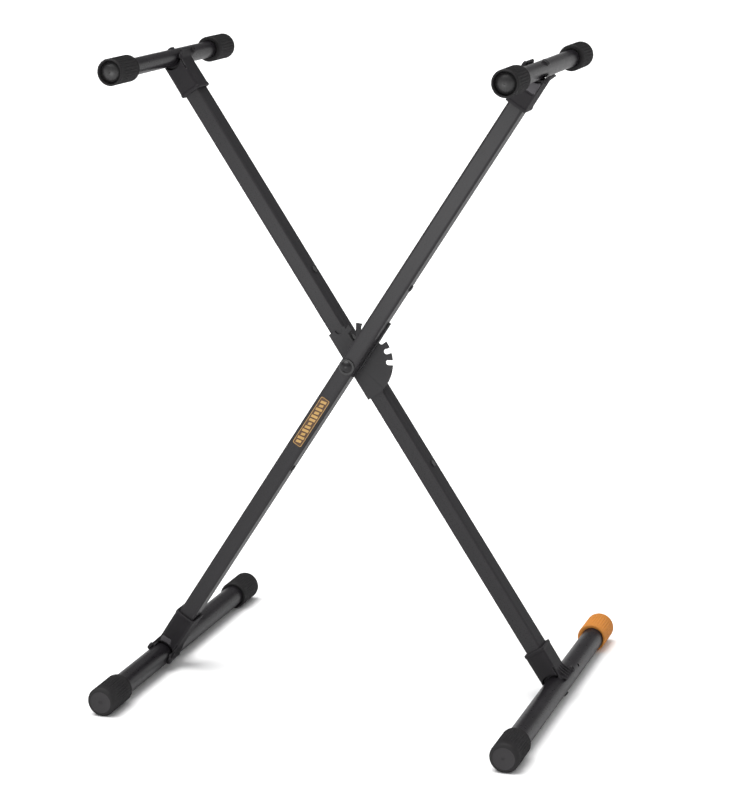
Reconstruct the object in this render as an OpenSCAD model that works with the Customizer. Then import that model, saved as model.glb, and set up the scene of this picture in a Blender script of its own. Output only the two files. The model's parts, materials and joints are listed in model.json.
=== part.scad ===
// Folding X-shaped keyboard stand: two crossed legs on one pivot bolt, a
// notched bracket and a sliding catch that lock the spread, and a cam-shaped
// foot cap that takes up an uneven floor.
//
// The stand rests on the plane z = 0 and opens along X. The bars run along Y,
// and the front leg is the one on the -Y side.

/* [Stance] */
// Lean of each leg from the vertical, as the stand is set
half_angle = 33; // [26:0.5:40]
// Leg length from the pivot up to the top bar's axis
arm_up = 463; // [400:1:520]
// Leg length from the pivot down to the foot bar's axis
arm_down = 504; // [440:1:560]
// Clear gap between the two leg tubes at the pivot
leg_gap = 6; // [6:0.5:10]

/* [Leg tubes] */
// Leg tube width, across the leg in the plane of the X
leg_w = 22; // [20:0.5:26]
// Leg tube depth, along the bars
leg_d = 30; // [28:0.5:36]
// Outer corner radius of a leg tube
leg_r = 3; // [2.5:0.5:4]
// Wall of a leg tube
leg_wall = 1.5; // [1.2:0.1:2]

/* [Bars and caps] */
// Overall length of a foot bar over its caps
foot_len = 514; // [440:2:600]
// Overall length of a top bar over its caps
top_len = 370; // [320:2:440]
// How far the rear leg's foot bar is set towards the back
rear_foot_shift = 6; // [-20:1:30]
// How far the front leg's foot bar is set towards the back
front_foot_shift = 28; // [-20:1:30]
// Foot bar radius
foot_r = 15; // [14:0.5:16]
// Top bar radius
top_r = 11; // [10:0.5:12]
// Wall of every bar
bar_wall = 1.5; // [1.2:0.1:2]
// Outer radius of a foot cap
foot_cap_r = 19.5; // [19:0.5:23]
// Length of a foot cap
foot_cap_len = 57; // [45:1:80]
// Outer radius of a top cap
top_cap_r = 17; // [15:0.5:19]
// Length of a top cap
top_cap_len = 54; // [40:1:70]
// How far the levelling cap's outside stands off the bar's axis
cam_offset = 1.5; // [0.5:0.1:2]

/* [Connectors] */
// Wall of a connector around its leg tube
sleeve_wall = 3.5; // [3:0.5:4]
// Wall of a connector's channel around the bar
ring_wall = 3; // [3:0.5:4]
// Length of a connector's sleeve from the bar's near side to its open end
sleeve_len = 41.5; // [38:0.5:50]
// The same length on the front leg's foot connector
front_foot_sleeve = 55; // [38:0.5:60]

/* [Lock] */
// Outer radius of the notched bracket
ratchet_r = 51.5; // [50:0.5:53]
// Radius at which the lock pin sits in a notch
seat_r = 45.5; // [44:0.5:46]
// Angle from one notch to the next
notch_pitch = 18.5; // [18:0.5:20]
// Radius of the lock pin
pin_r = 3.4; // [3:0.1:3.6]
// How far the catch slides to clear the notches
catch_travel = 10; // [10:0.5:11]

/* [Badge] */
// Length of the badge along the front leg
badge_len = 78; // [50:1:90]
// Width of the badge
badge_w = 14; // [10:0.5:16]

/* [Hidden] */
$fn = 64;

// heights and stations that follow from the driving sizes
foot_z = foot_cap_r;
pivot_z = foot_z + arm_down * cos(half_angle);
pivot_y = -(rear_foot_shift + front_foot_shift) / 2;
leg_y = (leg_gap + leg_d) / 2;
leg_front = leg_gap / 2;
leg_back = leg_front + leg_d;

// fits
run_gap = 0.05;
body_gap = 0.3;

// pivot hardware
bolt_r = 5;
bush_r = 7;
washer_r = 10.5;
gap_washer_r = 8.5;
washer_t = 1.5;
dome_r = 8;
dome_h = 4;
nut_r = 9.8;
nut_h = 8;

// connectors, their bolts and screws
sleeve_w = leg_w + 2 * sleeve_wall;
sleeve_d = leg_d + 2 * sleeve_wall;
jaw_end = -1;
jaw_root = 20;
jaw_out = 12;
jaw_in = 8;
seat_half = 7.5;
seat_rise = 3;
m6_r = 3;
m6_head_r = 5.5;
m6_skirt = 1;
m6_dome_h = 2;
m6_nut_h = 5;
m6_tail = 2;
tapping_r = 2;
tapping_head_r = 4;
tapping_head_h = 2;
tapping_at = 38;
tapping_tail = 2;
socket_stop = 5;
sleeve_r = leg_r + 1;

// rivets through the leg's side wall, above and below the pivot
rivet_up = 131;
rivet_down = -168;
rivet_r = 2.4;
rivet_head_r = 4.5;
rivet_head_h = 1.4;
rivet_tail = 1;
rivet_fn = 40;

// liner channel inside each leg
liner_t = 1.2;
liner_fit = 0.1;
liner_top = rivet_up + 14;
liner_bottom = rivet_down - 12;
liner_edge = 2;

// notched bracket on the rear leg
plate_t = 3;
cheek_t = 1.5;
bracket_w = leg_w + 2 * cheek_t;
bracket_top = 47.5;
bracket_bottom = -52;
cheek_depth = 14;
cheek_end = 3;
notch_r = pin_r + 0.2;
notches_below = 3;
notches_above = 1;
fold_notch = [3.2, 46];
fold_notch_r = 5.5;
sector_from = -77;
sector_to = 55;
stop_tab = [[12, 36], [19.5, 38], [18.5, 45], [12, 43]];
bracket_rivets_at = [28, -42];
bracket_rivet_y = 8;

// catch on the front leg, drawn back clear of the notches
catch_t = 2;
catch_back = -0.6;
catch_front = catch_back - catch_t;
catch_left = -9;
catch_in = leg_w / 2 + 0.5;
catch_out = catch_in + 1.8;
catch_top = 72.5;
catch_web_from = 20;
catch_tail = -8;
catch_strip_in = 9.2;
trigger_depth = 9;
pin_at = seat_r + catch_travel;
pin_tip = plate_t - 0.4;
pin_tail = -16;
guide_at = 31;
guide_r = 2.5;
collar_h = 1.5;
collar_r = 5;
wall_in = -leg_front - leg_wall;

// catch spring, inside the front leg
spring_y = -11;
spring_r = 3.6;
wire_r = 0.5;
spring_turns = 12;
seat_pin_r = 2.4;
spring_from = pin_at + pin_r + 0.3 + wire_r;
spring_to = rivet_up - seat_pin_r - 0.3 - wire_r;

// badge, on the front leg's front face
badge_t = 0.6;
badge_corner = 2;
badge_mid = -92;

// bar ends
cap_end = 6;
cap_edge = 6.5;
mouth_edge = 1;
top_recess = 8;
top_edge = 2;
top_rim = 2.5;
plug_depth = 12;
plug_gap = 0.2;
plug_flange = 1.5;
plug_dome = 7;
drain_at = 75;
drain_r = 2.5;
cap_pilot = 1;

// ---- frames -------------------------------------------------------------

// A leg's own frame: z runs up along the leg from the pivot, x across it.
module on_leg(lean) {
  translate([0, pivot_y, pivot_z]) rotate([0, lean, 0]) children();
}

module on_rear() { on_leg(-half_angle) children(); }

module on_front() { on_leg(half_angle) children(); }

// A cylinder along y, from y0 to y1.
module y_rod(r, y0, y1, fn = $fn) {
  translate([0, y1, 0]) rotate([90, 0, 0]) cylinder(r = r, h = y1 - y0, $fn = fn);
}

// A cylinder along x, from x0 to x1.
module x_rod(r, x0, x1, fn = $fn) {
  translate([x0, 0, 0]) rotate([0, 90, 0]) cylinder(r = r, h = x1 - x0, $fn = fn);
}

// Turns a shape drawn towards +x to face the given side, -1 or 1.
module facing(side) {
  mirror([side < 0 ? 1 : 0, 0, 0]) children();
}

// A flat outline in x and z, thickened from y0 to y1.
module y_plate(y0, y1) {
  translate([0, y1, 0]) rotate([90, 0, 0]) linear_extrude(y1 - y0) children();
}

module rounded_rect(w, d, r) {
  square([w - 2 * r, d], center = true);
  square([w, d - 2 * r], center = true);
  for (sx = [-1, 1], sy = [-1, 1])
    translate([sx * (w / 2 - r), sy * (d / 2 - r)]) circle(r);
}

// An upright slot between two heights, with round ends.
module slot_outline(r, z0, z1) {
  translate([-r, z0]) square([2 * r, z1 - z0]);
  for (z = [z0, z1]) translate([0, z]) circle(r);
}

// ---- legs ---------------------------------------------------------------

module leg_shell() {
  bottom = -arm_down + foot_r + socket_stop;
  top = arm_up - top_r - socket_stop;
  translate([0, 0, bottom]) linear_extrude(top - bottom) difference() {
    rounded_rect(leg_w, leg_d, leg_r);
    rounded_rect(leg_w - 2 * leg_wall, leg_d - 2 * leg_wall, leg_r - leg_wall);
  }
}

module rear_leg_tube() {
  color([0.13, 0.13, 0.14]) on_rear() difference() {
    translate([0, leg_y, 0]) leg_shell();
    y_rod(bush_r, leg_front - 1, leg_back + 1);
    for (z = [rivet_up, rivet_down])
      translate([0, leg_y, z]) x_rod(rivet_r, 0, leg_w);
    for (z = bracket_rivets_at)
      translate([0, bracket_rivet_y, z]) x_rod(rivet_r, -leg_w, leg_w);
    sleeve_screw_holes(1);
  }
}

module front_leg_tube() {
  color([0.13, 0.13, 0.14]) on_front() difference() {
    translate([0, -leg_y, 0]) leg_shell();
    y_rod(bush_r, -leg_back - 1, -leg_front + 1);
    translate([0, -leg_y, rivet_down]) x_rod(rivet_r, 0, leg_w);
    translate([0, spring_y, rivet_up]) x_rod(seat_pin_r, -leg_w, leg_w);
    y_plate(wall_in - 1, -leg_front + 1) slot_outline(pin_r + 0.2, seat_r, pin_at);
    y_plate(wall_in - 1, -leg_front + 1)
      slot_outline(guide_r + 0.2, guide_at - catch_travel, guide_at);
    sleeve_screw_holes(-1);
  }
}

// Holes for the tapping screws that hold the connectors on a leg tube.
module sleeve_screw_holes(side) {
  for (z = [arm_up - tapping_at, -arm_down + tapping_at])
    translate([0, side * leg_y, z]) y_rod(tapping_r, leg_d / 4, leg_d);
}

// Section of the channel inside the leg on the +y side: its corners follow the
// tube's, and it is open towards the other leg.
module liner_outline() {
  w = leg_w - 2 * (leg_wall + liner_fit);
  d = leg_d - 2 * (leg_wall + liner_fit);
  web = leg_back - leg_wall - liner_fit - liner_t;
  difference() {
    translate([0, leg_y]) rounded_rect(w, d, leg_r - leg_wall);
    translate([-w / 2 + liner_t, 0]) square([w - 2 * liner_t, web]);
    translate([-w, 0]) square([2 * w, leg_front + leg_wall + liner_edge]);
  }
}

module liner(side) {
  difference() {
    translate([0, 0, liner_bottom]) linear_extrude(liner_top - liner_bottom)
      mirror([0, side < 0 ? 1 : 0]) liner_outline();
    y_rod(bush_r, -leg_back, leg_back);
  }
}

module rear_leg_liner() {
  color([0.55, 0.56, 0.58]) on_rear() difference() {
    liner(1);
    for (z = [rivet_up, rivet_down])
      translate([0, leg_y, z]) x_rod(rivet_r, 0, leg_w);
    for (z = bracket_rivets_at)
      translate([0, bracket_rivet_y, z]) x_rod(rivet_r, -leg_w, leg_w);
  }
}

module front_leg_liner() {
  color([0.55, 0.56, 0.58]) on_front() difference() {
    liner(-1);
    translate([0, -leg_y, rivet_down]) x_rod(rivet_r, 0, leg_w);
    translate([0, spring_y, rivet_up]) x_rod(seat_pin_r, -leg_w, leg_w);
  }
}

// Blind rivet through the tube wall and the liner, head on the +x side.
module side_rivet() {
  inside = leg_w / 2 - leg_wall - liner_fit - liner_t - rivet_tail;
  x_rod(rivet_r, inside, leg_w / 2);
  x_rod(rivet_head_r, leg_w / 2, leg_w / 2 + rivet_head_h, rivet_fn);
}

module rear_side_rivets() {
  color([0.1, 0.1, 0.1]) on_rear()
    for (z = [rivet_up, rivet_down]) translate([0, leg_y, z]) side_rivet();
}

module front_side_rivet() {
  color([0.1, 0.1, 0.1]) on_front() translate([0, -leg_y, rivet_down]) side_rivet();
}

// ---- connectors ---------------------------------------------------------

// Connector in its leg's frame, at the bar's axis, with its sleeve towards -z. All
// four have a channel as wide as a foot bar, so a top bar lies on a seat in it.
module connector(bar_r, reach = sleeve_len) {
  axis = foot_r - bar_r;
  far = 2 * sleeve_d;
  difference() {
    union() {
      translate([0, 0, -bar_r - reach]) linear_extrude(reach + foot_r)
        rounded_rect(sleeve_w, sleeve_d, sleeve_r);
      translate([0, 0, axis]) intersection() {
        y_rod(foot_r + ring_wall, -far, far);
        jaws();
      }
    }
    translate([0, 0, -bar_r - reach - 1]) linear_extrude(reach + 1 - socket_stop)
      rounded_rect(leg_w, leg_d, leg_r);
    y_rod(bar_r, -far, far);
    if (axis > 0) translate([0, 0, axis]) difference() {
      y_rod(foot_r, -far, far);
      translate([-seat_half, -far, -2 * foot_r]) cube([2 * seat_half, 2 * far, foot_r + seat_rise]);
    }
    cylinder(r = m6_r, h = 4 * foot_r, center = true);
  }
}

// Side view of the channel's jaws, which lean outwards along the bar.
module jaws() {
  half = sleeve_d / 2;
  rotate([90, 0, 90]) linear_extrude(4 * foot_r, center = true) polygon([
    [-half, -jaw_root], [half, -jaw_root], [half + jaw_out, jaw_end], [-half + jaw_in, jaw_end]
  ]);
}

// Cuts a leg's tapping screw holes from what it is given.
module screwed(side) {
  difference() {
    children();
    sleeve_screw_holes(side);
  }
}

// The two ends of a leg, each with its sleeve towards -z and +y away from the
// other leg.
module at_top(side) {
  mirror([0, side < 0 ? 1 : 0, 0]) translate([0, leg_y, arm_up]) children();
}

module at_foot(side) {
  mirror([0, side < 0 ? 1 : 0, 0]) translate([0, leg_y, -arm_down]) mirror([0, 0, 1]) children();
}

module rear_top_connector() {
  color([0.16, 0.16, 0.17]) on_rear() screwed(1) at_top(1) connector(top_r);
}

module rear_foot_connector() {
  color([0.16, 0.16, 0.17]) on_rear() screwed(1) at_foot(1) connector(foot_r);
}

module front_top_connector() {
  color([0.16, 0.16, 0.17]) on_front() screwed(-1) at_top(-1) connector(top_r);
}

module front_foot_connector() {
  color([0.16, 0.16, 0.17])
    on_front() screwed(-1) at_foot(-1) connector(foot_r, front_foot_sleeve);
}

// ---- bars ---------------------------------------------------------------

// Bar along y, its middle at the given y, with a hole for its connector's bolt.
module bar(r, length, side, mid = 0) {
  difference() {
    y_rod(r, mid - length / 2, mid + length / 2);
    y_rod(r - bar_wall, mid - length / 2 - 1, mid + length / 2 + 1);
    translate([0, side * leg_y, 0]) cylinder(r = m6_r, h = 4 * r, center = true);
  }
}

module top_bar(side) {
  translate([0, 0, arm_up]) bar(top_r, top_len - 2 * top_recess, side);
}

// Where the middle of the foot bar under a leg lies along y.
function foot_mid(side) = side > 0 ? rear_foot_shift : front_foot_shift;

module foot_bar(side) {
  translate([0, 0, -arm_down]) difference() {
    bar(foot_r, foot_len - 2 * cap_end, side, foot_mid(side));
    translate([0, drain_at, 0]) x_rod(drain_r, 0, 2 * foot_r, 24);
  }
}

module rear_top_bar() { color([0.08, 0.08, 0.09]) on_rear() top_bar(1); }

module rear_foot_bar() { color([0.08, 0.08, 0.09]) on_rear() foot_bar(1); }

module front_top_bar() { color([0.08, 0.08, 0.09]) on_front() top_bar(-1); }

module front_foot_bar() { color([0.08, 0.08, 0.09]) on_front() foot_bar(-1); }

// Points along an arc from one angle to another.
function arc_points(x, y, r, from, to, steps = 6) =
  [for (i = [0:steps]) let (a = from + (to - from) * i / steps) [x + r * cos(a), y + r * sin(a)]];

// Closed cup: mouth at z = 0, closed end at z = length.
module cup(outer, bore, length) {
  rotate_extrude() polygon(concat(
    [[bore, 0]],
    arc_points(outer - mouth_edge, mouth_edge, mouth_edge, -90, 0, 3),
    arc_points(outer - cap_edge, length - cap_edge, cap_edge, 0, 90),
    [[0, length], [0, length - cap_end], [bore, length - cap_end]]
  ));
}

// Open sleeve with the same mouth, and a wider recess at its rounded far end.
module open_sleeve(outer, bore, length) {
  rotate_extrude() polygon(concat(
    [[bore, 0]],
    arc_points(outer - mouth_edge, mouth_edge, mouth_edge, -90, 0, 3),
    arc_points(outer - top_edge, length - top_edge, top_edge, 0, 90),
    [[outer - top_rim, length], [outer - top_rim, length - top_recess], [bore, length - top_recess]]
  ));
}

// Puts a lathed cap on the end of a bar; end is -1 at the front, 1 at the back.
module at_bar_end(end, half_len, cap_len) {
  translate([0, end * (half_len - cap_len), 0]) rotate([-90 * end, 0, 0]) children();
}

module top_cap(end) {
  translate([0, 0, arm_up]) at_bar_end(end, top_len / 2, top_cap_len)
    open_sleeve(top_cap_r, top_r, top_cap_len);
}

module foot_cap(end, side) {
  translate([0, foot_mid(side), -arm_down]) at_bar_end(end, foot_len / 2, foot_cap_len)
    cup(foot_cap_r, foot_r, foot_cap_len);
}

module rear_top_cap_front() { color([0.1, 0.1, 0.1]) on_rear() top_cap(-1); }

module rear_top_cap_back() { color([0.1, 0.1, 0.1]) on_rear() top_cap(1); }

module front_top_cap_front() { color([0.1, 0.1, 0.1]) on_front() top_cap(-1); }

module front_top_cap_back() { color([0.1, 0.1, 0.1]) on_front() top_cap(1); }

module rear_foot_cap() { color([0.1, 0.1, 0.1]) on_rear() foot_cap(-1, 1); }

module front_foot_cap_front() { color([0.1, 0.1, 0.1]) on_front() foot_cap(-1, -1); }

module front_foot_cap_back() { color([0.1, 0.1, 0.1]) on_front() foot_cap(1, -1); }

// Dome standing on z = 0.
module dome(r, h) {
  ball_r = (r * r + h * h) / (2 * h);
  intersection() {
    translate([0, 0, h - ball_r]) sphere(ball_r);
    cylinder(r = r + 1, h = h + 1);
  }
}

// Plugs that close both ends of a top bar and fill the recesses in its caps.
module top_plugs() {
  plug_r = top_cap_r - top_rim - plug_gap;
  for (end = [-1, 1])
    translate([0, end * (top_len / 2 - top_recess), arm_up]) rotate([-90 * end, 0, 0]) {
      translate([0, 0, -plug_depth]) cylinder(r = top_r - bar_wall, h = plug_depth);
      cylinder(r = plug_r, h = plug_flange);
      translate([0, 0, plug_flange]) dome(plug_r, plug_dome);
    }
}

module rear_top_plugs() { color([0.07, 0.07, 0.07]) on_rear() top_plugs(); }

module front_top_plugs() { color([0.07, 0.07, 0.07]) on_front() top_plugs(); }

// Plug in the rear foot bar that the levelling cap turns against.
module levelling_plug() {
  tip = rear_foot_shift + foot_len / 2 - cap_end;
  color([0.2, 0.2, 0.2]) on_rear() translate([0, 0, -arm_down])
    y_rod(foot_r - bar_wall, tip - 2 * plug_depth, tip);
}

// Foot cap whose outside is set off from its bore, so that a turn raises or
// lowers its corner of the stand. The bore is cut off centre from a pilot hole.
module levelling_cap() {
  back = rear_foot_shift + foot_len / 2;
  tip = back - cap_end + body_gap;
  foot_x = arm_down * sin(half_angle);
  color([0.85, 0.5, 0.14]) translate([foot_x, pivot_y, foot_z]) difference() {
    translate([-cam_offset, 0, 0]) at_bar_end(1, back, foot_cap_len)
      cup(foot_cap_r, cap_pilot, foot_cap_len);
    y_rod(foot_r + run_gap, back - foot_cap_len - 1, tip);
  }
}

// ---- bolts, nuts and screws ---------------------------------------------

// Bolt through the bar, its domed head shaped to the bar's far side.
module joint_bolt(bar_r) {
  tail = bar_r + socket_stop + m6_nut_h + m6_tail;
  difference() {
    union() {
      translate([0, 0, -tail]) cylinder(r = m6_r, h = tail + bar_r);
      cylinder(r = m6_head_r, h = bar_r + m6_skirt);
      translate([0, 0, bar_r + m6_skirt]) dome(m6_head_r, m6_dome_h);
    }
    difference() {
      y_rod(bar_r, -2 * m6_head_r, 2 * m6_head_r);
      cylinder(r = m6_r, h = 4 * bar_r, center = true);
    }
  }
}

// Nut inside the leg tube, against the closed end of the connector's socket.
module joint_nut(bar_r) {
  translate([0, 0, -bar_r - socket_stop - m6_nut_h]) difference() {
    cylinder(r = m6_head_r, h = m6_nut_h, $fn = 6);
    translate([0, 0, -1]) cylinder(r = m6_r, h = m6_nut_h + 2);
  }
}

module joint_bolts(side) {
  at_top(side) joint_bolt(top_r);
  at_foot(side) joint_bolt(foot_r);
}

module joint_nuts(side) {
  at_top(side) joint_nut(top_r);
  at_foot(side) joint_nut(foot_r);
}

module rear_joint_bolts() { color([0.2, 0.2, 0.21]) on_rear() joint_bolts(1); }

module rear_joint_nuts() { color([0.2, 0.2, 0.21]) on_rear() joint_nuts(1); }

module front_joint_bolts() { color([0.2, 0.2, 0.21]) on_front() joint_bolts(-1); }

module front_joint_nuts() { color([0.2, 0.2, 0.21]) on_front() joint_nuts(-1); }

// Tapping screws through the back of each sleeve into the leg tube.
module sleeve_screws(side) {
  for (z = [arm_up - tapping_at, -arm_down + tapping_at])
    translate([0, side * leg_y, z]) {
      y_rod(tapping_r, leg_d / 2 - leg_wall - tapping_tail, sleeve_d / 2);
      y_rod(tapping_head_r, sleeve_d / 2, sleeve_d / 2 + tapping_head_h);
    }
}

module rear_sleeve_screws() { color([0.2, 0.2, 0.21]) on_rear() sleeve_screws(1); }

module front_sleeve_screws() { color([0.2, 0.2, 0.21]) on_front() sleeve_screws(-1); }

// ---- pivot --------------------------------------------------------------

module pivot_bolt() {
  head_at = -leg_back - body_gap - washer_t;
  color([0.16, 0.16, 0.17]) translate([0, pivot_y, pivot_z]) {
    y_rod(bolt_r, head_at, leg_back + washer_t + nut_h + 1);
    translate([0, head_at, 0]) rotate([90, 0, 0]) dome(dome_r, dome_h);
  }
}

module washer(r, y0, y1) {
  difference() {
    y_rod(r, y0, y1);
    y_rod(bolt_r, y0 - 1, y1 + 1);
  }
}

module pivot_washers() {
  head_at = -leg_back - body_gap - washer_t;
  color([0.3, 0.3, 0.31]) translate([0, pivot_y, pivot_z]) {
    washer(washer_r, head_at, head_at + washer_t);
    washer(gap_washer_r, -leg_front + body_gap, 0);
    washer(washer_r, leg_back, leg_back + washer_t);
  }
}

module pivot_nut() {
  color([0.3, 0.3, 0.31]) translate([0, pivot_y, pivot_z]) difference() {
    y_rod(nut_r, leg_back + washer_t, leg_back + washer_t + nut_h, 6);
    y_rod(bolt_r, leg_back, leg_back + 2 * nut_h);
  }
}

// Tube around the bolt that keeps the nut from crushing the rear leg.
module rear_crush_sleeve() {
  color([0.6, 0.6, 0.62]) translate([0, pivot_y, pivot_z]) difference() {
    y_rod(bush_r, leg_front, leg_back);
    y_rod(bolt_r, leg_front - 1, leg_back + 1);
  }
}

// Bush that the front leg turns on.
module front_pivot_bush() {
  color([0.75, 0.73, 0.68]) on_front() difference() {
    y_rod(bush_r, -leg_back, -leg_front);
    y_rod(bolt_r + run_gap, -leg_back - 1, -leg_front + 1);
  }
}

// ---- notched bracket ----------------------------------------------------

// Notch for the lock pin, open outwards along the leg that carries the pin.
module notch_outline() {
  slot_outline(notch_r, seat_r, 2 * ratchet_r);
}

// Sector about the pivot, from one angle to another in the rear leg's frame.
module sector_outline() {
  far = 2 * ratchet_r;
  intersection() {
    circle(ratchet_r, $fn = 128);
    polygon([
      [0, 0],
      [far * cos(sector_from), far * sin(sector_from)],
      [far, 0],
      [far * cos(sector_to), far * sin(sector_to)]
    ]);
  }
}

module bracket_face() {
  difference() {
    union() {
      translate([-bracket_w / 2, bracket_bottom])
        square([bracket_w, bracket_top - bracket_bottom]);
      sector_outline();
      polygon(stop_tab);
    }
    circle(bolt_r);
    translate(fold_notch) circle(fold_notch_r);
    translate([fold_notch[0] - fold_notch_r, fold_notch[1]])
      square([2 * fold_notch_r, fold_notch_r]);
    for (k = [-notches_above:notches_below])
      rotate(-2 * half_angle - k * notch_pitch) notch_outline();
  }
}

module ratchet_bracket() {
  color([0.17, 0.17, 0.18]) on_rear() difference() {
    union() {
      y_plate(0, plate_t) bracket_face();
      for (side = [-1, 1])
        translate([side > 0 ? leg_w / 2 : -bracket_w / 2, plate_t, bracket_bottom])
          cube([cheek_t, cheek_depth - plate_t, bracket_top - cheek_end - bracket_bottom]);
    }
    for (z = bracket_rivets_at)
      translate([0, bracket_rivet_y, z]) x_rod(rivet_r, -leg_w, leg_w);
  }
}

// Rivets through the bracket's cheeks and the leg's side walls.
module bracket_rivets() {
  inside = leg_w / 2 - leg_wall - liner_fit - liner_t - rivet_tail;
  color([0.25, 0.25, 0.26]) on_rear()
    for (z = bracket_rivets_at, side = [-1, 1])
      facing(side) translate([0, bracket_rivet_y, z]) {
        x_rod(rivet_r, inside, bracket_w / 2);
        x_rod(rivet_head_r, bracket_w / 2, bracket_w / 2 + rivet_head_h, rivet_fn);
      }
}

// ---- catch --------------------------------------------------------------

// Sliding plate behind the front leg, with a trigger edge along its lower side.
module catch_plate() {
  color([0.09, 0.09, 0.1]) on_front() difference() {
    union() {
      y_plate(catch_front, catch_back) catch_outline();
      translate([catch_in, -trigger_depth, catch_tail])
        cube([catch_out - catch_in, trigger_depth + catch_back, catch_top - catch_tail]);
    }
    translate([0, 0, pin_at]) y_rod(pin_r, 2 * catch_front, 1);
    translate([0, 0, guide_at]) y_rod(guide_r, 2 * catch_front, 1);
  }
}

module catch_outline() {
  round_r = (catch_out - catch_left) / 4;
  translate([catch_left, catch_web_from])
    square([catch_out - catch_left, catch_top - catch_web_from - round_r]);
  translate([catch_left + round_r, catch_top - 2 * round_r])
    square([catch_out - catch_left - round_r, 2 * round_r]);
  translate([catch_left + round_r, catch_top - round_r]) circle(round_r);
  translate([catch_strip_in, catch_tail])
    square([catch_out - catch_strip_in, catch_web_from - catch_tail + 1]);
}

// Pin with a collar that keeps it against the leg's wall.
module headed_pin(r, y_front, y_back) {
  y_rod(r, y_front, y_back);
  y_rod(collar_r, wall_in - body_gap - collar_h, wall_in - body_gap);
}

module lock_pin() {
  color([0.7, 0.7, 0.72]) on_front() translate([0, 0, pin_at])
    headed_pin(pin_r, pin_tail, pin_tip);
}

module catch_guide() {
  color([0.7, 0.7, 0.72]) on_front() translate([0, 0, guide_at])
    headed_pin(guide_r, wall_in - body_gap - collar_h, catch_back);
}

// Cross pin through the front leg that the catch spring pushes against.
module spring_seat_pin() {
  color([0.1, 0.1, 0.1]) on_front() translate([0, spring_y, rivet_up]) {
    x_rod(seat_pin_r, -leg_w / 2, leg_w / 2);
    for (side = [-1, 1]) facing(side)
      x_rod(rivet_head_r, leg_w / 2, leg_w / 2 + rivet_head_h, rivet_fn);
  }
}

// Coil of round wire swept along a helix, closed at both ends.
module catch_spring() {
  sides = 5;
  per_turn = 12;
  rings = spring_turns * per_turn;
  rise = (spring_to - spring_from) / rings;
  points = [
    for (i = [0:rings], j = [0:sides - 1])
      let (a = 360 * i / per_turn, b = 360 * j / sides, out = spring_r + wire_r * cos(b))
        [out * cos(a), out * sin(a), spring_from + i * rise + wire_r * sin(b)]
  ];
  faces = concat(
    [[for (j = [0:sides - 1]) j]],
    [for (i = [0:rings - 1], j = [0:sides - 1], half = [0, 1])
      let (a = i * sides, k = (j + 1) % sides)
        half == 0 ? [a + j, a + sides + j, a + sides + k] : [a + j, a + sides + k, a + k]],
    [[for (j = [sides - 1:-1:0]) rings * sides + j]]
  );
  color([0.7, 0.7, 0.72]) on_front() translate([0, spring_y, 0]) polyhedron(points, faces);
}

// ---- badge --------------------------------------------------------------

module badge() {
  color([0.75, 0.58, 0.3]) on_front()
    translate([0, -leg_back, badge_mid]) rotate([90, 0, 0]) linear_extrude(badge_t)
      rounded_rect(badge_w, badge_len, badge_corner);
}

// ---- nodes --------------------------------------------------------------

rear_leg_tube();
rear_leg_liner();
rear_side_rivets();
rear_crush_sleeve();
rear_top_connector();
rear_top_bar();
rear_top_plugs();
rear_top_cap_front();
rear_top_cap_back();
rear_foot_connector();
rear_foot_bar();
rear_foot_cap();
levelling_plug();
rear_joint_bolts();
rear_joint_nuts();
rear_sleeve_screws();
ratchet_bracket();
bracket_rivets();
pivot_bolt();
pivot_washers();
pivot_nut();
front_leg_tube();
front_leg_liner();
front_side_rivet();
front_pivot_bush();
front_top_connector();
front_top_bar();
front_top_plugs();
front_top_cap_front();
front_top_cap_back();
front_foot_connector();
front_foot_bar();
front_foot_cap_front();
front_foot_cap_back();
front_joint_bolts();
front_joint_nuts();
front_sleeve_screws();
spring_seat_pin();
catch_spring();
badge();
catch_plate();
lock_pin();
catch_guide();
levelling_cap();
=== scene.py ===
import json
import math

import bmesh
import bpy
import numpy as np
from mathutils import Matrix, Quaternion, Vector

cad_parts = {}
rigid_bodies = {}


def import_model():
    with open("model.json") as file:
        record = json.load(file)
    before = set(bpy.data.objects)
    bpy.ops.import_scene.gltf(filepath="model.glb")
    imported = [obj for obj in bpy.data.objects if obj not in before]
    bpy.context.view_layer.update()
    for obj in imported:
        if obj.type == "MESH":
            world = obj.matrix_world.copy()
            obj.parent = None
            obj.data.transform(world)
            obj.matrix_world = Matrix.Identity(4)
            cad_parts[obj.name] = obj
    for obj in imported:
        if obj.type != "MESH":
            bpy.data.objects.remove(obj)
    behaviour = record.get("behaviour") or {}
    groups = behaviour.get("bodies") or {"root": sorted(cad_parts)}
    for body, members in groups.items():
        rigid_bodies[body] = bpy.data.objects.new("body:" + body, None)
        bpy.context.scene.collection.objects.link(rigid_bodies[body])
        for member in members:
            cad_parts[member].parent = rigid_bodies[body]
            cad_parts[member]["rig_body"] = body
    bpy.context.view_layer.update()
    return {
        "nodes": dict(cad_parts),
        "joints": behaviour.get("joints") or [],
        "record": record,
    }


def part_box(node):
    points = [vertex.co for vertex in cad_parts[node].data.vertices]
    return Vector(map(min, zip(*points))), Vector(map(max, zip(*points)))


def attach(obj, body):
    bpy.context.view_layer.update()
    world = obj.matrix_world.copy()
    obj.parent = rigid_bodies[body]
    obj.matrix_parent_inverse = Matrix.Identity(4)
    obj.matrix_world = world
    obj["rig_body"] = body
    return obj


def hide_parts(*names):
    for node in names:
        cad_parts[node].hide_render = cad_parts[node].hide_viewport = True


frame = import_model()
nodes = frame["nodes"]
joint = {j["name"]: j for j in frame["joints"]}
MM = 0.001

# ---- frames ---------------------------------------------------------------

PIVOT = Vector(joint["legs_fold"]["pos_m"])
SLIDE = Vector(joint["catch_slide"]["axis"])
HALF = math.atan2(SLIDE.x, SLIDE.z)


def leg_matrix(lean):
    """The leg's own frame: z up along the leg from the pivot, x across it."""
    return Matrix.Translation(PIVOT) @ Matrix.Rotation(lean, 4, "Y")


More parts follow.
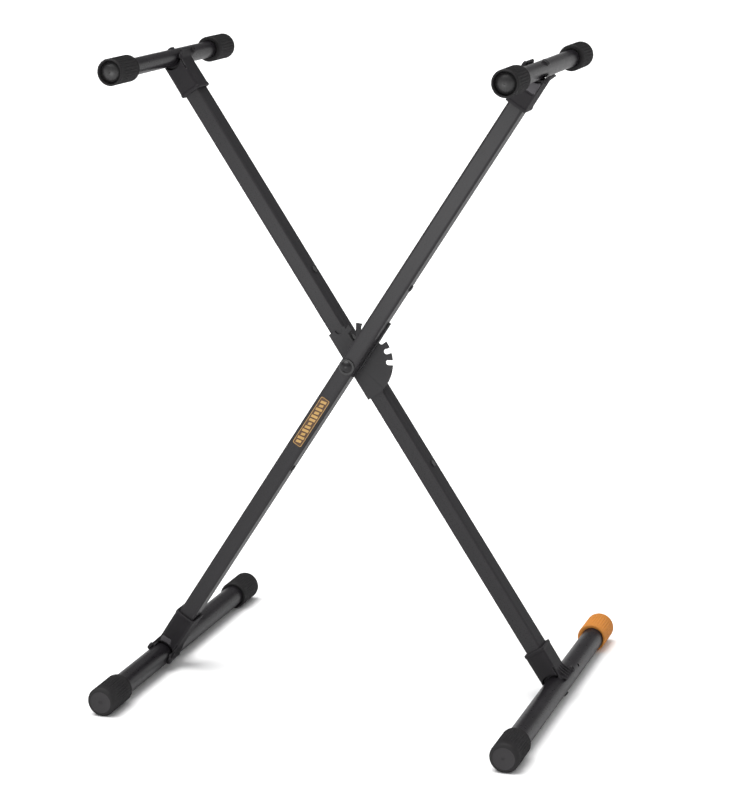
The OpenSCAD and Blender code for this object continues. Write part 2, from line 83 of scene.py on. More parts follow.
LEG = {"rear": leg_matrix(-HALF), "front": leg_matrix(HALF)}
SIDE = {"rear": 1, "front": -1}


def centre(node):
    lo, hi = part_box(node)
    return (lo + hi) / 2


def size(node):
    lo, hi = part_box(node)
    return hi - lo


# ---- shader helpers -------------------------------------------------------


def new_material(name):
    mat = bpy.data.materials.new(name)
    mat.use_nodes = True
    nt = mat.node_tree
    nt.nodes.clear()
    out = nt.nodes.new("ShaderNodeOutputMaterial")
    bsdf = nt.nodes.new("ShaderNodeBsdfPrincipled")
    nt.links.new(bsdf.outputs[0], out.inputs[0])
    return mat, nt, bsdf


def noise(nt, scale, detail, rough=0.5, stretch=None):
    """Noise in the object's own space, its scale in cycles per metre."""
    co = nt.nodes.new("ShaderNodeTexCoord")
    n = nt.nodes.new("ShaderNodeTexNoise")
    n.inputs["Scale"].default_value = scale
    n.inputs["Detail"].default_value = detail
    n.inputs["Roughness"].default_value = rough
    source = co.outputs["Object"]
    if stretch:
        mp = nt.nodes.new("ShaderNodeMapping")
        mp.inputs["Scale"].default_value = stretch
        nt.links.new(source, mp.inputs["Vector"])
        source = mp.outputs[0]
    nt.links.new(source, n.inputs["Vector"])
    return n.outputs["Fac"]


def ramp(nt, fac, stops):
    """Colours along a value, each stop a place and a colour."""
    r = nt.nodes.new("ShaderNodeValToRGB")
    el = r.color_ramp.elements
    while len(el) < len(stops):
        el.new(0.5)
    for e, (pos, col) in zip(el, stops):
        e.position = pos
        e.color = (*col, 1.0)
    nt.links.new(fac, r.inputs["Fac"])
    return r.outputs["Color"]


def remap(nt, fac, to_min, to_max, from_min, from_max):
    m = nt.nodes.new("ShaderNodeMapRange")
    m.inputs["From Min"].default_value = from_min
    m.inputs["From Max"].default_value = from_max
    m.inputs["To Min"].default_value = to_min
    m.inputs["To Max"].default_value = to_max
    nt.links.new(fac, m.inputs["Value"])
    return m.outputs["Result"]


def bump(nt, bsdf, height, distance):
    b = nt.nodes.new("ShaderNodeBump")
    b.inputs["Distance"].default_value = distance
    nt.links.new(height, b.inputs["Height"])
    nt.links.new(b.outputs[0], bsdf.inputs["Normal"])


def edge_highlight(nt):
    """0 on flat ground, towards 1 where the surface turns sharply outwards; it masks a painted highlight
    along edges.
    """
    g = nt.nodes.new("ShaderNodeNewGeometry")
    return remap(nt, g.outputs["Pointiness"], 0.0, 1.0, 0.5, 0.62)


def blend_colour(nt, fac, linked, fixed):
    """From the linked colour at 0 to the fixed one at 1."""
    mix = nt.nodes.new("ShaderNodeMix")
    mix.data_type = "RGBA"
    nt.links.new(fac, mix.inputs["Factor"])
    colour_a, colour_b = [i for i in mix.inputs if i.type == "RGBA"]
    nt.links.new(linked, colour_a)
    colour_b.default_value = (*fixed, 1)
    return next(o for o in mix.outputs if o.type == "RGBA")


# A coat's tone drifts slowly, and its roughness varies with its grain.
DRIFT_SCALE = 22
COAT_ROUGHNESS_SPREAD = 0.04
GRAZING_SHARE = 0.06  # how much of a coat's reflection is left at grazing angles
NOISE_LOW, NOISE_HIGH = 0.3, 0.7  # the range where most of a noise value lies


def coated(name, base, rough, grain, grain_scale, spec=0.5, tint=0.18, edge=0.0, fade=0.85):
    """Paint, nylon or rubber: a grained surface with a slow drift of tone.

    grain is the bump's depth in metres, tint the share by which the tone drifts,
    edge how much lighter edges are painted as a painted highlight, and fade the
    facing value at which the reflection has died away.
    """
    mat, nt, bsdf = new_material(name)
    drift = noise(nt, DRIFT_SCALE, 2)
    dark = [c * (1 - tint) for c in base]
    light = [c * (1 + tint) for c in base]
    col = ramp(nt, drift, [(NOISE_LOW, dark), (NOISE_HIGH, light)])
    # painted highlight: sharp edges painted lighter than the base by edge
    if edge:
        col = blend_colour(nt, edge_highlight(nt), col, [c + edge for c in base])
    nt.links.new(col, bsdf.inputs["Base Color"])
    fine = noise(nt, grain_scale, 4, 0.6)
    spread = COAT_ROUGHNESS_SPREAD
    varied = remap(nt, fine, rough - spread, rough + spread, NOISE_LOW, NOISE_HIGH)
    nt.links.new(varied, bsdf.inputs["Roughness"])
    # a matt coat loses its reflection at grazing angles
    facing = nt.nodes.new("ShaderNodeLayerWeight").outputs["Facing"]
    gloss = remap(nt, facing, spec, spec * GRAZING_SHARE, fade * 0.3, fade)
    nt.links.new(gloss, bsdf.inputs["Specular IOR Level"])
    if grain:
        bump(nt, bsdf, fine, grain)
    return mat


STEEL_ROUGHNESS_SPREAD = 0.08


def steel(name, base, rough):
    """Bare metal with fine streaks."""
    mat, nt, bsdf = new_material(name)
    streak = noise(nt, 60, 4, 0.6, stretch=(1, 12, 1))
    dull = [c * 0.82 for c in base]
    tone = ramp(nt, streak, [(NOISE_LOW, dull), (NOISE_HIGH, base)])
    nt.links.new(tone, bsdf.inputs["Base Color"])
    spread = STEEL_ROUGHNESS_SPREAD
    varied = remap(nt, streak, rough - spread, rough + spread, NOISE_LOW, NOISE_HIGH)
    nt.links.new(varied, bsdf.inputs["Roughness"])
    bsdf.inputs["Metallic"].default_value = 1.0
    bump(nt, bsdf, streak, 0.00002)
    return mat


def coat(base, rough, grain, grain_scale, **more):
    return coated, dict(base=base, rough=rough, grain=grain * MM, grain_scale=grain_scale, **more)


def bare(base, rough):
    return steel, dict(base=base, rough=rough)


# Base colour, roughness, depth of grain in millimetres and its scale.
KINDS = {
    # edge paints a highlight along sharp edges, a painted highlight
    "tube_coat": coat((0.0066, 0.0057, 0.0072), 0.29, 0.015, 900, spec=0.12, edge=0.02, fade=0.5),
    "bar_coat": coat((0.0105, 0.0095, 0.011), 0.30, 0, 300, spec=0.26),
    "bracket_coat": coat((0.0068, 0.0061, 0.0076), 0.45, 0.05, 900, spec=0.1, edge=0.03, fade=0.5),
    "connector_nylon": coat((0.0115, 0.0104, 0.012), 0.48, 0.08, 1300, spec=0.14, edge=0.035),
    "cap_rubber": coat((0.012, 0.0114, 0.012), 0.66, 0.12, 1500, spec=0.2),
    # a lighter copy of the cap rubber: painted light on the caps' end faces
    "cap_face": coat((0.026, 0.0245, 0.026), 0.6, 0.10, 1500, spec=0.2),
    # a lighter copy of the connector nylon: painted highlight on the pockets' floors
    "moulded_pad": coat((0.06, 0.057, 0.062), 0.5, 0.06, 1300, spec=0.3),
    "levelling_rubber": coat((0.44, 0.17, 0.032), 0.6, 0.12, 1500, spec=0.2, tint=0.08),
    "plug_plastic": coat((0.016, 0.0155, 0.016), 0.38, 0.02, 500, spec=0.4),
    "bush_plastic": coat((0.60, 0.58, 0.52), 0.4, 0.03, 600, tint=0.05),
    "black_steel": coat((0.010, 0.0095, 0.0105), 0.32, 0.03, 700, spec=0.25, edge=0.012),
    "badge_gold": coat((0.42, 0.25, 0.075), 0.4, 0.01, 500, spec=0.3, tint=0.1),
    "badge_field": coat((0.07, 0.032, 0.012), 0.35, 0.01, 500, spec=0.3, tint=0.15),
    "zinc_steel": bare((0.52, 0.53, 0.55), 0.38),
    "pin_steel": bare((0.62, 0.62, 0.64), 0.28),
}
MATS = {name: make(name, **values) for name, (make, values) in KINDS.items()}

SLOT = {s["node"]: s["material_slot"] for s in frame["record"]["subparts"]}

for name, obj in nodes.items():
    obj.data.materials.clear()
    obj.data.materials.append(MATS[SLOT[name]])


PLATE_EDGE = 0.45 * MM


def bevel(obj, width):
    mod = obj.modifiers.new("edge", "BEVEL")
    mod.width = width
    mod.segments = 2
    mod.limit_method = "ANGLE"
    mod.angle_limit = math.radians(40)
    mod.harden_normals = True


for name in ("ratchet_bracket", "catch_plate"):
    bevel(nodes[name], PLATE_EDGE)

# ---- mesh helpers ---------------------------------------------------------


def piece(name, verts, faces, node, materials, smooth=True):
    """A finished piece that replaces a CAD node and rides on its body."""
    mesh = bpy.data.meshes.new(name)
    mesh.from_pydata([tuple(v) for v in verts], [], [tuple(int(i) for i in f) for f in faces])
    bm = bmesh.new()
    bm.from_mesh(mesh)
    bmesh.ops.recalc_face_normals(bm, faces=bm.faces)
    bm.to_mesh(mesh)
    bm.free()
    mesh.polygons.foreach_set("use_smooth", [smooth] * len(mesh.polygons))
    obj = bpy.data.objects.new(name, mesh)
    bpy.context.scene.collection.objects.link(obj)
    for slot in materials:
        mesh.materials.append(MATS[slot])
    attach(obj, nodes[node]["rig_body"])
    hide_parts(node)
    return obj


def surface_net(field, low, step):
    """Quads over the zero level of a sampled field, one point in each crossed cell."""
    inside = field < 0
    cells = tuple(n - 1 for n in field.shape)
    total = np.zeros((*cells, 3))
    count = np.zeros(cells)
    for axis in range(3):
        u, v = [a for a in range(3) if a != axis]
        for du in (0, 1):
            for dv in (0, 1):
                window = [slice(0, n) for n in cells]
                window[u] = slice(du, du + cells[u])
                window[v] = slice(dv, dv + cells[v])
                a = field[tuple(window)]
                window[axis] = slice(1, 1 + cells[axis])
                b = field[tuple(window)]
                crossed = (a < 0) != (b < 0)
                total[..., axis] += np.where(crossed, a / np.where(crossed, a - b, 1), 0)
                total[..., u] += crossed * du
                total[..., v] += crossed * dv
                count += crossed
    used = count > 0
    index = np.full(cells, -1)
    index[used] = np.arange(used.sum())
    verts = low + step * (np.argwhere(used) + total[used] / count[used][:, None])
    faces = []
    for axis in range(3):
        u, v = (axis + 1) % 3, (axis + 2) % 3
        first = [slice(None)] * 3
        first[axis] = slice(0, -1)
        second = [slice(None)] * 3
        second[axis] = slice(1, None)
        a, b = inside[tuple(first)], inside[tuple(second)]
        at = np.argwhere(a != b)
        above = (at[:, u] > 0) & (at[:, v] > 0)
        at = at[above & (at[:, u] < cells[u]) & (at[:, v] < cells[v])]
        eu, ev = np.eye(3, dtype=int)[u], np.eye(3, dtype=int)[v]
        ring = [at, at - eu, at - eu - ev, at - ev]
        quad = np.stack([index[tuple(r.T)] for r in ring], 1)
        flip = b[tuple(at.T)]
        quad[flip] = quad[flip][:, ::-1]
        faces.append(quad)
    return verts, np.concatenate(faces)


# ---- connectors -----------------------------------------------------------
# Each is a moulding sampled as a distance field, in millimetres, in a frame on
# the bar's axis: the sleeve towards -z, +y away from the other leg, +x outer.

LEG_W, LEG_D, LEG_R = 22.0, 30.0, 3.0
SLEEVE_W, SLEEVE_D, SLEEVE_R = 29.0, 37.0, 4.0
SLEEVE_LEN, FRONT_FOOT_SLEEVE = 41.5, 55.0
FOOT_R = 15.0
JAW_WALL, JAW_END = 3.0, -1.0
JAW_LEAN = 0.5
SOCKET_STOP = 5.0
BOLT_R = 3.0
SEAT_HALF = 7.5
CELL = 0.7

# Surface detail: the sleeve's lip, the ribs, the lug and the pocket.
SKIN = 0.25
LIP_OUT, LIP_LEN = 0.5, 4.0
RIBS, RIB_PITCH, RIB_R = 4, 7.5, 1.05
BEAD_R = 1.5
LUG_R, LUG_HOLE_R, LUG_OUT, LUG_DROP = 4.6, 1.9, 6.5, 5.5
ARCH_HALF, ARCH_GAP, ARCH_DEPTH = 11.8, 4.2, 11.5
POCKET_FLOOR, POCKET_TIP, POCKET_BOTTOM = 0.4, 2.8, -28.0
POCKET_RIGHT = 13.2
LEG_FIT, BAR_FIT = 0.05, 0.03


def rounded_box(x, y, half_x, half_y, radius):
    """Upright bar with rounded corners, endless along z."""
    qx, qy = abs(x) - half_x + radius, abs(y) - half_y + radius
    outside = np.hypot(np.maximum(qx, 0), np.maximum(qy, 0))
    return outside + np.minimum(np.maximum(qx, qy), 0) - radius


def both(a, b, soft=0.0):
    """What is in a and in b, with an edge rounded by soft."""
    if not soft:
        return np.maximum(a, b)
    h = np.clip(0.5 - 0.5 * (b - a) / soft, 0, 1)
    return b + (a - b) * h + soft * h * (1 - h)


def join(a, b, soft=0.0):
    return -both(-a, -b, soft)


def cut(a, b, soft=0.0):
    return both(a, -b, soft)


def slab(v, lo, hi):
    return np.maximum(lo - v, v - hi)


def capsule(x, y, z, a, b, radius):
    a, b = np.array(a, float), np.array(b, float)
    span = b - a
    along = (x - a[0]) * span[0] + (y - a[1]) * span[1] + (z - a[2]) * span[2]
    t = np.clip(along / span.dot(span), 0, 1)
    return np.sqrt(sum((v - a[i] - t * span[i]) ** 2 for i, v in enumerate((x, y, z)))) - radius


def convex(x, z, corners):
    """Inside a convex outline, its corners given anticlockwise."""
    sides = []
    for (ax, az), (bx, bz) in zip(corners, corners[1:] + corners[:1]):
        run = math.hypot(bx - ax, bz - az)
        sides.append(((bz - az) * (x - ax) - (bx - ax) * (z - az)) / run)
    return np.maximum.reduce(sides)


def pocket(x, z, foot):
    """Outline of the pocket on the outward face, lower on a foot connector."""
    top = -14.0 if foot else -8.0
    right = [(POCKET_RIGHT, -26.8), (POCKET_RIGHT, top - 5)]
    return convex(x, z, [(-2, POCKET_BOTTOM), *right, (6, top), (-4.5, -21.7)])


def sleeve_body(x, y, z, end, axis):
    """Sleeve around the leg, a little wider at its open end, which has a lip."""
    half_w, half_d = SLEEVE_W / 2, SLEEVE_D / 2
    flare = SKIN * np.clip((-18 - z) / 30, 0, 1)
    sleeve = rounded_box(x, y, half_w - SKIN + flare, half_d - SKIN + flare, SLEEVE_R)
    lip = rounded_box(x, y, half_w + LIP_OUT, half_d + LIP_OUT, SLEEVE_R)
    body = both(sleeve, slab(z, end, axis), 0.8)
    return join(body, both(lip, slab(z, end, end + LIP_LEN), 0.8), 0.9)


def jaws(x, y, zc):
    """Jaws of the channel, leaning outwards along the bar."""
    lean = y - JAW_LEAN * np.clip(zc + 20, 0, 30)
    half = SLEEVE_D / 2
    jaw = both(np.hypot(x, zc) - FOOT_R - JAW_WALL, slab(zc, -30, JAW_END), 1.0)
    jaw = both(jaw, slab(lean, -half + 0.2, half + 1.5), 1.2)
    return both(jaw, 7.0 - abs(x), 1.0)


def with_ribs(body, x, y, zc, count):
    """Stiffening ribs low on both side walls, and a bead along each jaw's lip."""
    half = SLEEVE_D / 2
    for k in range(count):
        at = -half + 9 + RIB_PITCH * k
        rib = capsule(abs(x), y, zc, (14.2, at, -19.5), (17.6, at + 6, -5.5), RIB_R)
        body = join(body, rib, 0.8)
    bead_z = JAW_END - 1.4
    bead = capsule(abs(x), y, zc, (17.0, -half + 9.5, bead_z), (17.0, half + 9.0, bead_z), BEAD_R)
    return join(body, bead, 0.8)


def with_lug(body, x, y, zc):
    """Rounded lug at the outward end of each jaw, with its blind hole."""
    off = np.hypot(y - SLEEVE_D / 2 - LUG_OUT, zc + LUG_DROP)
    body = join(body, both(off - LUG_R, slab(abs(x), 14.6, 19.4), 0.8), 1.0)
    return cut(body, both(off - LUG_HOLE_R, 17.4 - abs(x)), 0.5)


def with_recesses(body, x, y, z, zc, bar_r):
    """Arch and slots that put the bar in shade, and the five-sided pocket."""
    half = SLEEVE_D / 2
    arch = both(np.hypot(x, z) - bar_r - ARCH_GAP, slab(x, -ARCH_HALF, ARCH_HALF), 1.0)
    body = cut(body, both(arch, ARCH_DEPTH - abs(y), 0.6), 0.8)
    slot = both(slab(abs(x), 11.9, 13.1), slab(zc, -27, -12), 0.3)
    body = cut(body, both(slot, half - 3.0 - abs(y), 0.3), 0.3)
    floor = half - POCKET_FLOOR - POCKET_TIP * np.clip((z - POCKET_BOTTOM) / 20.0, 0, 1)
    body = cut(body, both(pocket(x, z, bar_r == FOOT_R), floor - y, 0.3), 0.4)
    groove = capsule(x, y, z, (-0.5, half + 0.2, -28.3), (13.0, half + 0.2, -28.3), 1.2)
    return cut(body, groove, 0.4)


def with_bores(body, x, y, z, bar_r, end):
    """Leg socket with a lead-in, bar and bolt."""
    half_w, half_d = LEG_W / 2 + LEG_FIT, LEG_D / 2 + LEG_FIT
    socket = both(rounded_box(x, y, half_w, half_d, LEG_R), z + bar_r + SOCKET_STOP)
    widening = np.clip(end + 1.2 - z, 0, 2)
    lead = rounded_box(x, y, half_w + widening, half_d + widening, LEG_R)
    body = cut(body, join(socket, both(lead, z - end - 1.3)), 0.2)
    body = cut(body, np.hypot(x, z) - bar_r - BAR_FIT)
    if bar_r < FOOT_R:
        over_seat = slab(x, -SEAT_HALF, SEAT_HALF)
        side_gap = cut(np.hypot(x, z - FOOT_R + bar_r) - FOOT_R, over_seat)
        body = cut(body, side_gap, 0.5)
    return cut(body, both(np.hypot(x, y) - BOLT_R, slab(z, -40, 5)))


def connector_field(x, y, z, bar_r, reach):
    axis = FOOT_R - bar_r
    zc = z - axis
    end = -bar_r - reach
    body = join(sleeve_body(x, y, z, end, axis), jaws(x, y, zc), 2.0)
    body = with_ribs(body, x, y, zc, RIBS if bar_r == FOOT_R else 0)
    body = with_lug(body, x, y, zc)
    body = with_recesses(body, x, y, z, zc, bar_r)
    return with_bores(body, x, y, z, bar_r, end)


def build_connector(leg, level, reach):
    node = f"{leg}_{level}_connector"
    bar = f"{leg}_{level}_bar"
    bar_r = round(size(bar).x / 2 / MM, 2)
    # the sampled block, a little larger than the moulding
    low = np.array([-21.5, -21.0, -bar_r - reach - 2.0])
    high = np.array([21.5, 33.0, FOOT_R - bar_r + 3.0])
    steps = [np.arange(a, b + CELL, CELL) for a, b in zip(low, high)]
    x, y, z = np.meshgrid(*steps, indexing="ij")
    verts, faces = surface_net(connector_field(x, y, z, bar_r, reach), low, CELL)
    side = SIDE[leg]
    up = 1 if level == "top" else -1
    outer = -side if level == "top" else side
    # to the leg's frame: its height from the bar's own place
    mid = LEG[leg].inverted() @ centre(bar)
    leg_y = (LEG[leg].inverted() @ centre(f"{leg}_leg_tube")).y / MM
    pts = [
        LEG[leg] @ Vector((outer * v[0] * MM, (leg_y + side * v[1]) * MM, mid.z + up * v[2] * MM))
        for v in verts
    ]
    obj = piece(node + "_moulded", pts, faces, node, [SLOT[node], "moulded_pad"])
    # the pocket's floor is the second material, a lighter copy of the nylon: a painted highlight where
    # the floor faces the light
    mid_x, mid_y, mid_z = verts[faces].mean(1).T
    face_y = mid_y - SLEEVE_D / 2
    lit_pocket_floor = (pocket(mid_x, mid_z, bar_r == FOOT_R) < -0.5) & (face_y > -4) & (face_y < 0.1)
    obj.data.polygons.foreach_set("material_index", lit_pocket_floor.astype(int).tolist())


for leg in ("rear", "front"):
    for level in ("top", "foot"):
        reach = FRONT_FOOT_SLEEVE if (leg, level) == ("front", "foot") else SLEEVE_LEN
        build_connector(leg, level, reach)

# ---- lathed caps ----------------------------------------------------------


RIB_DEPTH = 0.75
POINTS_PER_RIB = 8
TOP_RIBS, TOP_EDGE = 26, 2.0
FOOT_RIBS, FOOT_EDGE = 34, 5.2
LIP_R, NECK, RIBS_FROM, RIB_STEPS = 1.3, 0.45, 5.0, 12
WALL_OVER_BORE, RECESS, RECESS_RIM, BORE_FIT = 5.7, 8.0, 2.5, 0.03


def arc(cx, cz, radius, a0, a1, steps):
    """Points along an arc between two angles in degrees."""
    return [
        (cx + radius * math.cos(math.radians(a)), cz + radius * math.sin(math.radians(a)))
        for a in np.linspace(a0, a1, steps)
    ]


def lathe(profile, ribs):
    """Closed turned form. Each profile point is (radius, height, rib weight, side shift)."""
    turns = ribs * POINTS_PER_RIB
    verts, rings = [], []
    for r, h, weight, shift in profile:
        if r < 1e-6:
            rings.append([len(verts)] * turns)
            verts.append((shift, 0.0, h))
            continue
        start = len(verts)
        for k in range(turns):
            a = 2 * math.pi * k / turns
            groove = 0.5 - 0.5 * math.cos(ribs * a)
            cut_r = r - RIB_DEPTH * weight * groove ** 2
            verts.append((cut_r * math.cos(a) + shift, cut_r * math.sin(a), h))
        rings.append(list(range(start, start + turns)))
    faces = []
    closed = profile[0][0] > 1e-6 and profile[-1][0] > 1e-6
    pairs = list(zip(rings, rings[1:])) + ([(rings[-1], rings[0])] if closed else [])
    for low, high in pairs:
        for k in range(turns):
            n = (k + 1) % turns
            face = list(dict.fromkeys((low[k], low[n], high[n], high[k])))
            if len(face) > 2:
                faces.append(face)
    return verts, faces


def plain(points):
    """Profile points with no ribs and no side shift."""
    return [(r, h, 0, 0) for r, h in points]


def cap_profile(outer, bore, length, end_edge, closed, shift=0.0):
    """Millimetres, mouth at 0 and far end at length; the shift moves the bore."""
    # rolled lip at the mouth, then a shallow neck before the ribs
    pts = [(bore, 0.6, 0, shift), (bore + 0.6, 0.0, 0, shift * 0.9)]
    pts += plain(arc(outer - LIP_R, LIP_R, LIP_R, -90, 0, 5))
    pts += plain([(outer, 2.6), (outer - NECK, 3.2), (outer - NECK, 4.2), (outer - 0.05, RIBS_FROM)])
    first, last = RIBS_FROM + 0.8, length - end_edge - 2.5
    for k in range(RIB_STEPS + 1):
        t = k / RIB_STEPS
        weight = min(1.0, 8 * t, 8 * (1 - t))
        pts.append((outer, first + (last - first) * t, weight, 0))
    pts += plain(arc(outer - end_edge, length - end_edge, end_edge, 0, 90, 9))
    if closed:
        # a dished face with a dimple in its middle
        flat = outer - end_edge
        pts += plain([(flat - 0.6, length), (flat - 1.1, length - 0.35), (flat - 1.7, length - 0.4)])
        pts += plain([(4.0, length - 0.15), (2.4, length - 0.2), (1.6, length - 0.9), (0, length - 1.1)])
        floor = length - WALL_OVER_BORE
        return [(0, floor, 0, shift), (bore, floor, 0, shift)] + pts
    recess = outer - RECESS_RIM
    pts += plain([(recess + 0.4, length), (recess, length - 0.4)])
    return pts + plain([(recess, length - RECESS), (bore, length - RECESS)])


def build_cap(node, bar, ribs, end_edge, closed, shift=0.0):
    lo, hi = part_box(node)
    mid = (lo + hi) / 2
    outer = (hi.x - lo.x) / 2 / MM
    bore = size(bar).x / 2 / MM + BORE_FIT
    length = (hi.y - lo.y) / MM
    end = 1 if mid.y > 0 else -1
    verts, faces = lathe(cap_profile(outer, bore, length, end_edge, closed, shift), ribs)
    mouth = lo.y if end > 0 else hi.y
    pts = [Vector((mid.x + x * MM, mouth + end * z * MM, mid.z + y * MM)) for x, y, z in verts]
    # the cap's end face takes the second material, a lighter copy of the rubber: painted light on the
    # face
    has_face = closed and not shift
    cap = piece(node + "_ribbed", pts, faces, node, [SLOT[node]] + ["cap_face"] * has_face)
    if has_face:
        flat = (outer - end_edge) * MM
        tip = mouth + end * (length - 1.5) * MM
        for p in cap.data.polygons:
            off = math.hypot(p.center.x - mid.x, p.center.z - mid.z)
            if off < flat and (p.center.y - tip) * end > 0:
                p.material_index = 1


for leg in ("rear", "front"):
    for end in ("front", "back"):
        build_cap(f"{leg}_top_cap_{end}", f"{leg}_top_bar", TOP_RIBS, TOP_EDGE, False)
for node, bar in (
    ("rear_foot_cap", "rear_foot_bar"),
    ("front_foot_cap_front", "front_foot_bar"),
    ("front_foot_cap_back", "front_foot_bar"),
):
    build_cap(node, bar, FOOT_RIBS, FOOT_EDGE, True)
CAM_SHIFT = (centre("rear_foot_bar").x - centre("levelling_cap").x) / MM
build_cap("levelling_cap", "rear_foot_bar", FOOT_RIBS, FOOT_EDGE, True, CAM_SHIFT)

# ---- badge ----------------------------------------------------------------


BADGE_HALF_W, BADGE_HALF_H, BADGE_R = 7.0, 39.0, 2.6
PANEL_T, RIM_T, BAR_T = 0.38, 0.55, 0.58
RELIEF_FROM = 0.3
BAR_END_GAP = 6.4
BAR_HALF_WIDTHS = (3.3, 4.4, 2.6, 4.4, 3.6, 2.2, 4.0, 4.4, 3.0, 4.4, 2.6, 3.8)


def rounded_loop(half_w, half_h, radius, steps=6):
    loop = []
    for cx, cz, a0 in ((1, 1, 0), (-1, 1, 90), (-1, -1, 180), (1, -1, 270)):
        loop += arc(cx * (half_w - radius), cz * (half_h - radius), radius, a0, a0 + 90, steps)
    return loop


def add_bands(verts, faces, rings, closed=False):
    """Quads between rings of equal length, and back to the first if closed."""
    start, n = len(verts), len(rings[0])
    for ring in rings:
        verts.extend(ring)
    for layer in range(len(rings) if closed else len(rings) - 1):
        low, high = start + layer * n, start + (layer + 1) % len(rings) * n
        for k in range(n):
            m = (k + 1) % n
            faces.append((low + k, low + m, high + m, high + k))


def add_prism(verts, faces, loop, low, high, chamfer):
    """Adds a solid over a flat loop, its far face drawn in by the chamfer."""
    n = len(loop)
    cx = sum(x for x, z in loop) / n
    cz = sum(z for x, z in loop) / n
    start = len(verts)
    rings = []
    for y, inset in ((low, 0.0), (high - chamfer, 0.0), (high, chamfer)):
        shrink = [1 - inset / max(math.hypot(x - cx, z - cz), 1e-6) for x, z in loop]
        rings.append([(cx + (x - cx) * k, y, cz + (z - cz) * k) for (x, z), k in zip(loop, shrink)])
    add_bands(verts, faces, rings)
    faces.append(tuple(range(start, start + n))[::-1])
    faces.append(tuple(range(start + 2 * n, start + 3 * n)))


def build_badge():
    """Dark plate with a raised rim and a row of slanted bars of varied width."""
    verts, faces = [], []
    panel = rounded_loop(BADGE_HALF_W, BADGE_HALF_H, BADGE_R)
    add_prism(verts, faces, panel, 0.0, PANEL_T, 0.1)
    panel_faces = len(faces)
    outer = rounded_loop(BADGE_HALF_W - 0.5, BADGE_HALF_H - 0.5, 2.2)
    inner = rounded_loop(BADGE_HALF_W - 1.15, BADGE_HALF_H - 1.15, 1.7)
    section = ((outer, RELIEF_FROM), (outer, RIM_T), (inner, RIM_T), (inner, RELIEF_FROM))
    add_bands(verts, faces, [[(x, y, z) for x, z in loop] for loop, y in section], closed=True)
    reach = BADGE_HALF_H - BAR_END_GAP
    for half, z in zip(BAR_HALF_WIDTHS, np.linspace(-reach, reach, len(BAR_HALF_WIDTHS))):
        bar = [(-half, z - 2.9), (-half, z + 0.9), (half, z + 2.9), (half, z - 0.9)]
        add_prism(verts, faces, bar, RELIEF_FROM, BAR_T, 0.06)
    mid = LEG["front"].inverted() @ centre("badge")
    back_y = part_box("badge")[1].y - PIVOT.y
    pts = [
        LEG["front"] @ Vector((mid.x + x * MM, back_y - y * MM, mid.z + z * MM)) for x, y, z in verts
    ]
    badge = piece("badge_panel", pts, faces, "badge", ["badge_field", "badge_gold"], smooth=False)
    for p in badge.data.polygons:
        p.material_index = 1 if p.index >= panel_faces else 0


build_badge()

# ---- stage ----------------------------------------------------------------

FLOOR_HALF = 40.0
FLOOR_WHITE = 0.9


def make_floor():
    """Plain sheet that runs to the horizon."""
    mesh = bpy.data.meshes.new("floor")
    f = FLOOR_HALF
    mesh.from_pydata([(-f, -f, 0), (f, -f, 0), (f, f, 0), (-f, f, 0)], [], [(0, 1, 2, 3)])
    floor = bpy.data.objects.new("floor", mesh)
    bpy.context.scene.collection.objects.link(floor)
    mat, _, bsdf = new_material("floor_white")
    bsdf.inputs["Base Color"].default_value = (FLOOR_WHITE, FLOOR_WHITE, FLOOR_WHITE, 1)
    bsdf.inputs["Roughness"].default_value = 0.9
    bsdf.inputs["Specular IOR Level"].default_value = 0.1
    floor.data.materials.append(mat)


make_floor()


def add_object(name, data):
    obj = bpy.data.objects.new(name, data)
    bpy.context.scene.collection.objects.link(obj)
    return obj


def aim(obj, direction):
    obj.rotation_mode = "QUATERNION"
    obj.rotation_quaternion = direction.to_track_quat("-Z", "Y")


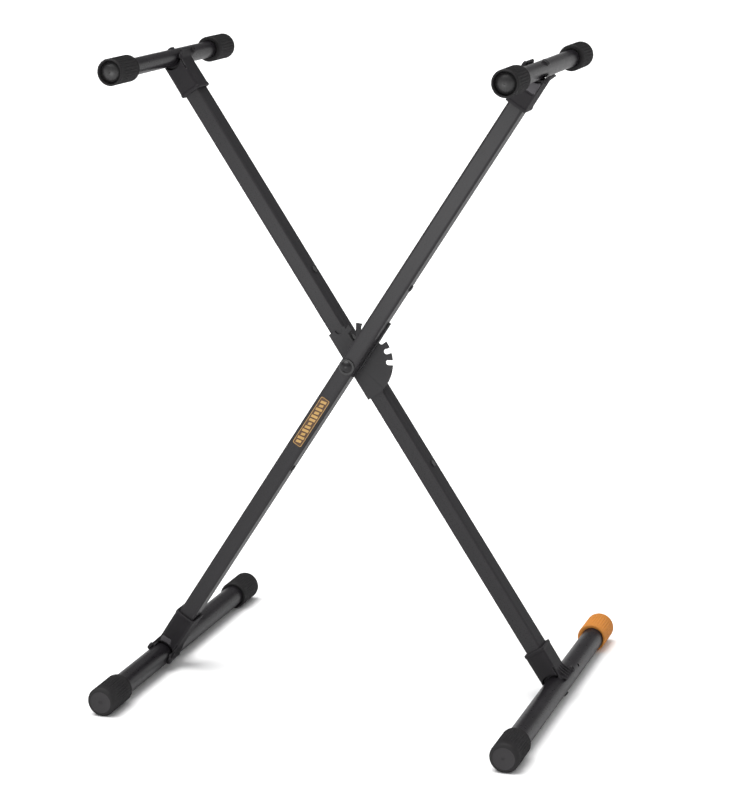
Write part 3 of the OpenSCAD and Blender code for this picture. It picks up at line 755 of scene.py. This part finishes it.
def make_world():
    """Studio sky that changes with height alone, dark above the horizon's white."""
    world = bpy.data.worlds.new("studio")
    bpy.context.scene.world = world
    world.use_nodes = True
    nt = world.node_tree
    direction = nt.nodes.new("ShaderNodeTexCoord")
    parts = nt.nodes.new("ShaderNodeSeparateXYZ")
    nt.links.new(direction.outputs["Generated"], parts.inputs[0])
    bands = ((0.0, 1.3), (0.165, 1.3), (0.26, 0.12), (0.4, 0.2), (0.6, 0.6), (0.92, 1.3))
    sky = ramp(nt, parts.outputs["Z"], [(at, (level,) * 3) for at, level in bands])
    nt.links.new(sky, nt.nodes["Background"].inputs["Color"])
    nt.nodes["Background"].inputs["Strength"].default_value = 1.0


def make_overhead():
    """Very soft light from above that gives the short shadows on the floor."""
    light = bpy.data.lights.new("overhead", "SUN")
    light.energy = 2.9
    light.angle = math.radians(50)
    aim(add_object("overhead", light), Vector((0.28, 0.12, -1)))


def make_front_box():
    """Low softbox that puts a sheen on the legs' front faces."""
    light = bpy.data.lights.new("front_box", "AREA")
    light.energy = 12
    light.shape = "RECTANGLE"
    light.size, light.size_y = 0.9, 0.4
    box = add_object("front_box", light)
    box.location = (-0.45, -2.3, 0.3)
    aim(box, Vector((0.1, 0, 0.6)) - Vector(box.location))
    box.visible_camera = False


make_world()
make_overhead()
make_front_box()

scene = bpy.context.scene
scene.view_settings.view_transform = "Standard"
scene.view_settings.look = "None"

# ---- camera ---------------------------------------------------------------

AZIMUTH, ELEVATION, ROLL = 18.980, 13.775, -0.451
DISTANCE = 3.078636
FOCAL_PX, LONG_SIDE_PX = 2348.372, 800
AIM = Vector((0.017525, PIVOT.y, 0.391662))
SENSOR_MM = 36


def make_camera():
    around, up = math.radians(AZIMUTH), math.radians(ELEVATION)
    back = Vector(
        (math.sin(around) * math.cos(up), -math.cos(around) * math.cos(up), math.sin(up))
    )
    camera = add_object("camera", bpy.data.cameras.new("camera"))
    camera.data.sensor_width = SENSOR_MM
    camera.data.lens = FOCAL_PX / LONG_SIDE_PX * SENSOR_MM
    camera.data.clip_end = 100
    camera.location = AIM + back * DISTANCE
    aim(camera, -back)
    roll = Quaternion((0, 0, 1), math.radians(ROLL))
    camera.rotation_quaternion = camera.rotation_quaternion @ roll
    return camera


scene.camera = make_camera()
